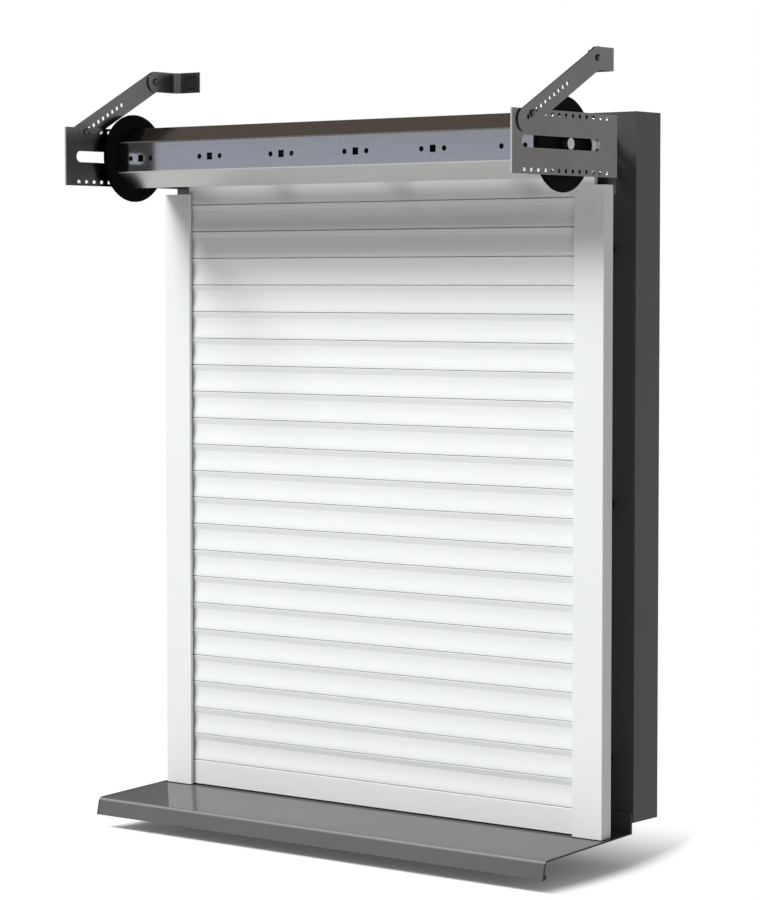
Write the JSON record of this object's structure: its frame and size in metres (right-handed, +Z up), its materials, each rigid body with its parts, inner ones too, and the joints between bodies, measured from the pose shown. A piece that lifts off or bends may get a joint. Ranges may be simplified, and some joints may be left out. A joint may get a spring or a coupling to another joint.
{
  "type": "exterior roller shutter",
  "caption": "White slatted exterior roller shutter with guide rails, a hexagonal winding tube with motor, punched wall brackets, folding arms, a sill and a dark rear frame.",
  "frame": {"origin": "middle of the back face of the rear frame's bottom rail, where the frame meets the wall", "axes": "+X to the right seen from outside, +Y into the wall, +Z up"},
  "size_m": [0.7556, 0.3149, 1.0267],
  "materials": {
    "white_slat": "white paint, satin",
    "white_rail": "white paint, satin",
    "dark_frame": "dark grey paint, satin",
    "sill_sheet": "grey paint, glossy",
    "bracket_steel": "bare steel, satin",
    "tube_steel": "galvanised, fine grain",
    "zinc": "zinc plated",
    "black_plastic": "moulded, matt",
    "white_plastic": "moulded, satin",
    "sleeve": "moulded, matt",
    "motor_metal": "bare tube, satin",
    "brush": "dense pile",
    "seal_rubber": "matt"
  },
  "bodies": {
    "base": {"left_jamb": "dark_frame", "right_jamb": "dark_frame", "frame_head": "dark_frame", "frame_bottom": "dark_frame", "sill": "sill_sheet", "sill_cover": "dark_frame", "left_guide_rail": "white_rail", "right_guide_rail": "white_rail", "rail_brushes": "brush", "rail_sleeves": "sleeve", "fixing_screws": "zinc", "left_bracket_plate": "bracket_steel", "right_bracket_plate": "bracket_steel", "bracket_sleeves": "sleeve", "left_arm_bolt": "zinc", "right_arm_bolt": "zinc", "axle_pin": "bracket_steel", "motor_body": "motor_metal", "motor_head": "black_plastic"},
    "tube": {"winding_tube": "tube_steel", "left_flange_disc": "black_plastic", "right_flange_disc": "black_plastic", "tube_end_cap": "black_plastic", "motor_crown": "black_plastic", "drive_wheel": "black_plastic", "hanger_clips": "tube_steel"},
    "curtain": {"slat_01": "white_slat", "slat_02": "white_slat", "slat_03": "white_slat", "slat_04": "white_slat", "slat_05": "white_slat", "slat_06": "white_slat", "slat_07": "white_slat", "slat_08": "white_slat", "slat_09": "white_slat", "slat_10": "white_slat", "slat_11": "white_slat", "slat_12": "white_slat", "slat_13": "white_slat", "slat_14": "white_slat", "slat_15": "white_slat", "slat_16": "white_slat", "slat_17": "white_slat", "slat_18": "white_slat", "slat_19": "white_slat", "slat_20": "white_slat", "slat_21": "white_slat", "slat_22": "white_slat", "slat_23": "white_slat", "bottom_bar": "white_slat", "bottom_seal": "seal_rubber", "slat_end_clips": "white_plastic", "hanger_straps": "tube_steel"},
    "left_arm": {"left_arm": "bracket_steel"},
    "right_arm": {"right_arm": "bracket_steel"},
    "left_foot": {"left_foot": "bracket_steel", "left_foot_rivet": "zinc"},
    "right_foot": {"right_foot": "bracket_steel", "right_foot_rivet": "zinc"}
  },
  "joints": [
    {"name": "tube_turn", "type": "hinge", "parent": "base", "child": "tube", "pos_m": [0, -0.19094, 0.8379], "axis": [1, 0, 0], "range_deg": [0, 740.89]},
    {"name": "curtain_lift", "type": "slide", "parent": "base", "child": "curtain", "axis": [0, 0, 1], "range_m": [0, 0.751]},
    {"name": "left_arm_swing", "type": "hinge", "parent": "base", "child": "left_arm", "pos_m": [-0.3713, -0.27529, 0.8718], "axis": [1, 0, 0], "range_deg": [-12, 2]},
    {"name": "left_foot_tilt", "type": "hinge", "parent": "left_arm", "child": "left_foot", "pos_m": [-0.3713, -0.13552, 0.94612], "axis": [1, 0, 0], "range_deg": [-12, 12]},
    {"name": "right_arm_swing", "type": "hinge", "parent": "base", "child": "right_arm", "pos_m": [0.3713, -0.27529, 0.8718], "axis": [1, 0, 0], "range_deg": [-12, 2]},
    {"name": "right_foot_tilt", "type": "hinge", "parent": "right_arm", "child": "right_foot", "pos_m": [0.3713, -0.13552, 0.94612], "axis": [1, 0, 0], "range_deg": [-12, 12]}
  ],
  "couplings": [
    {"joint": "curtain_lift", "follows": "tube_turn", "m_per_rad": 0.058}
  ]
}
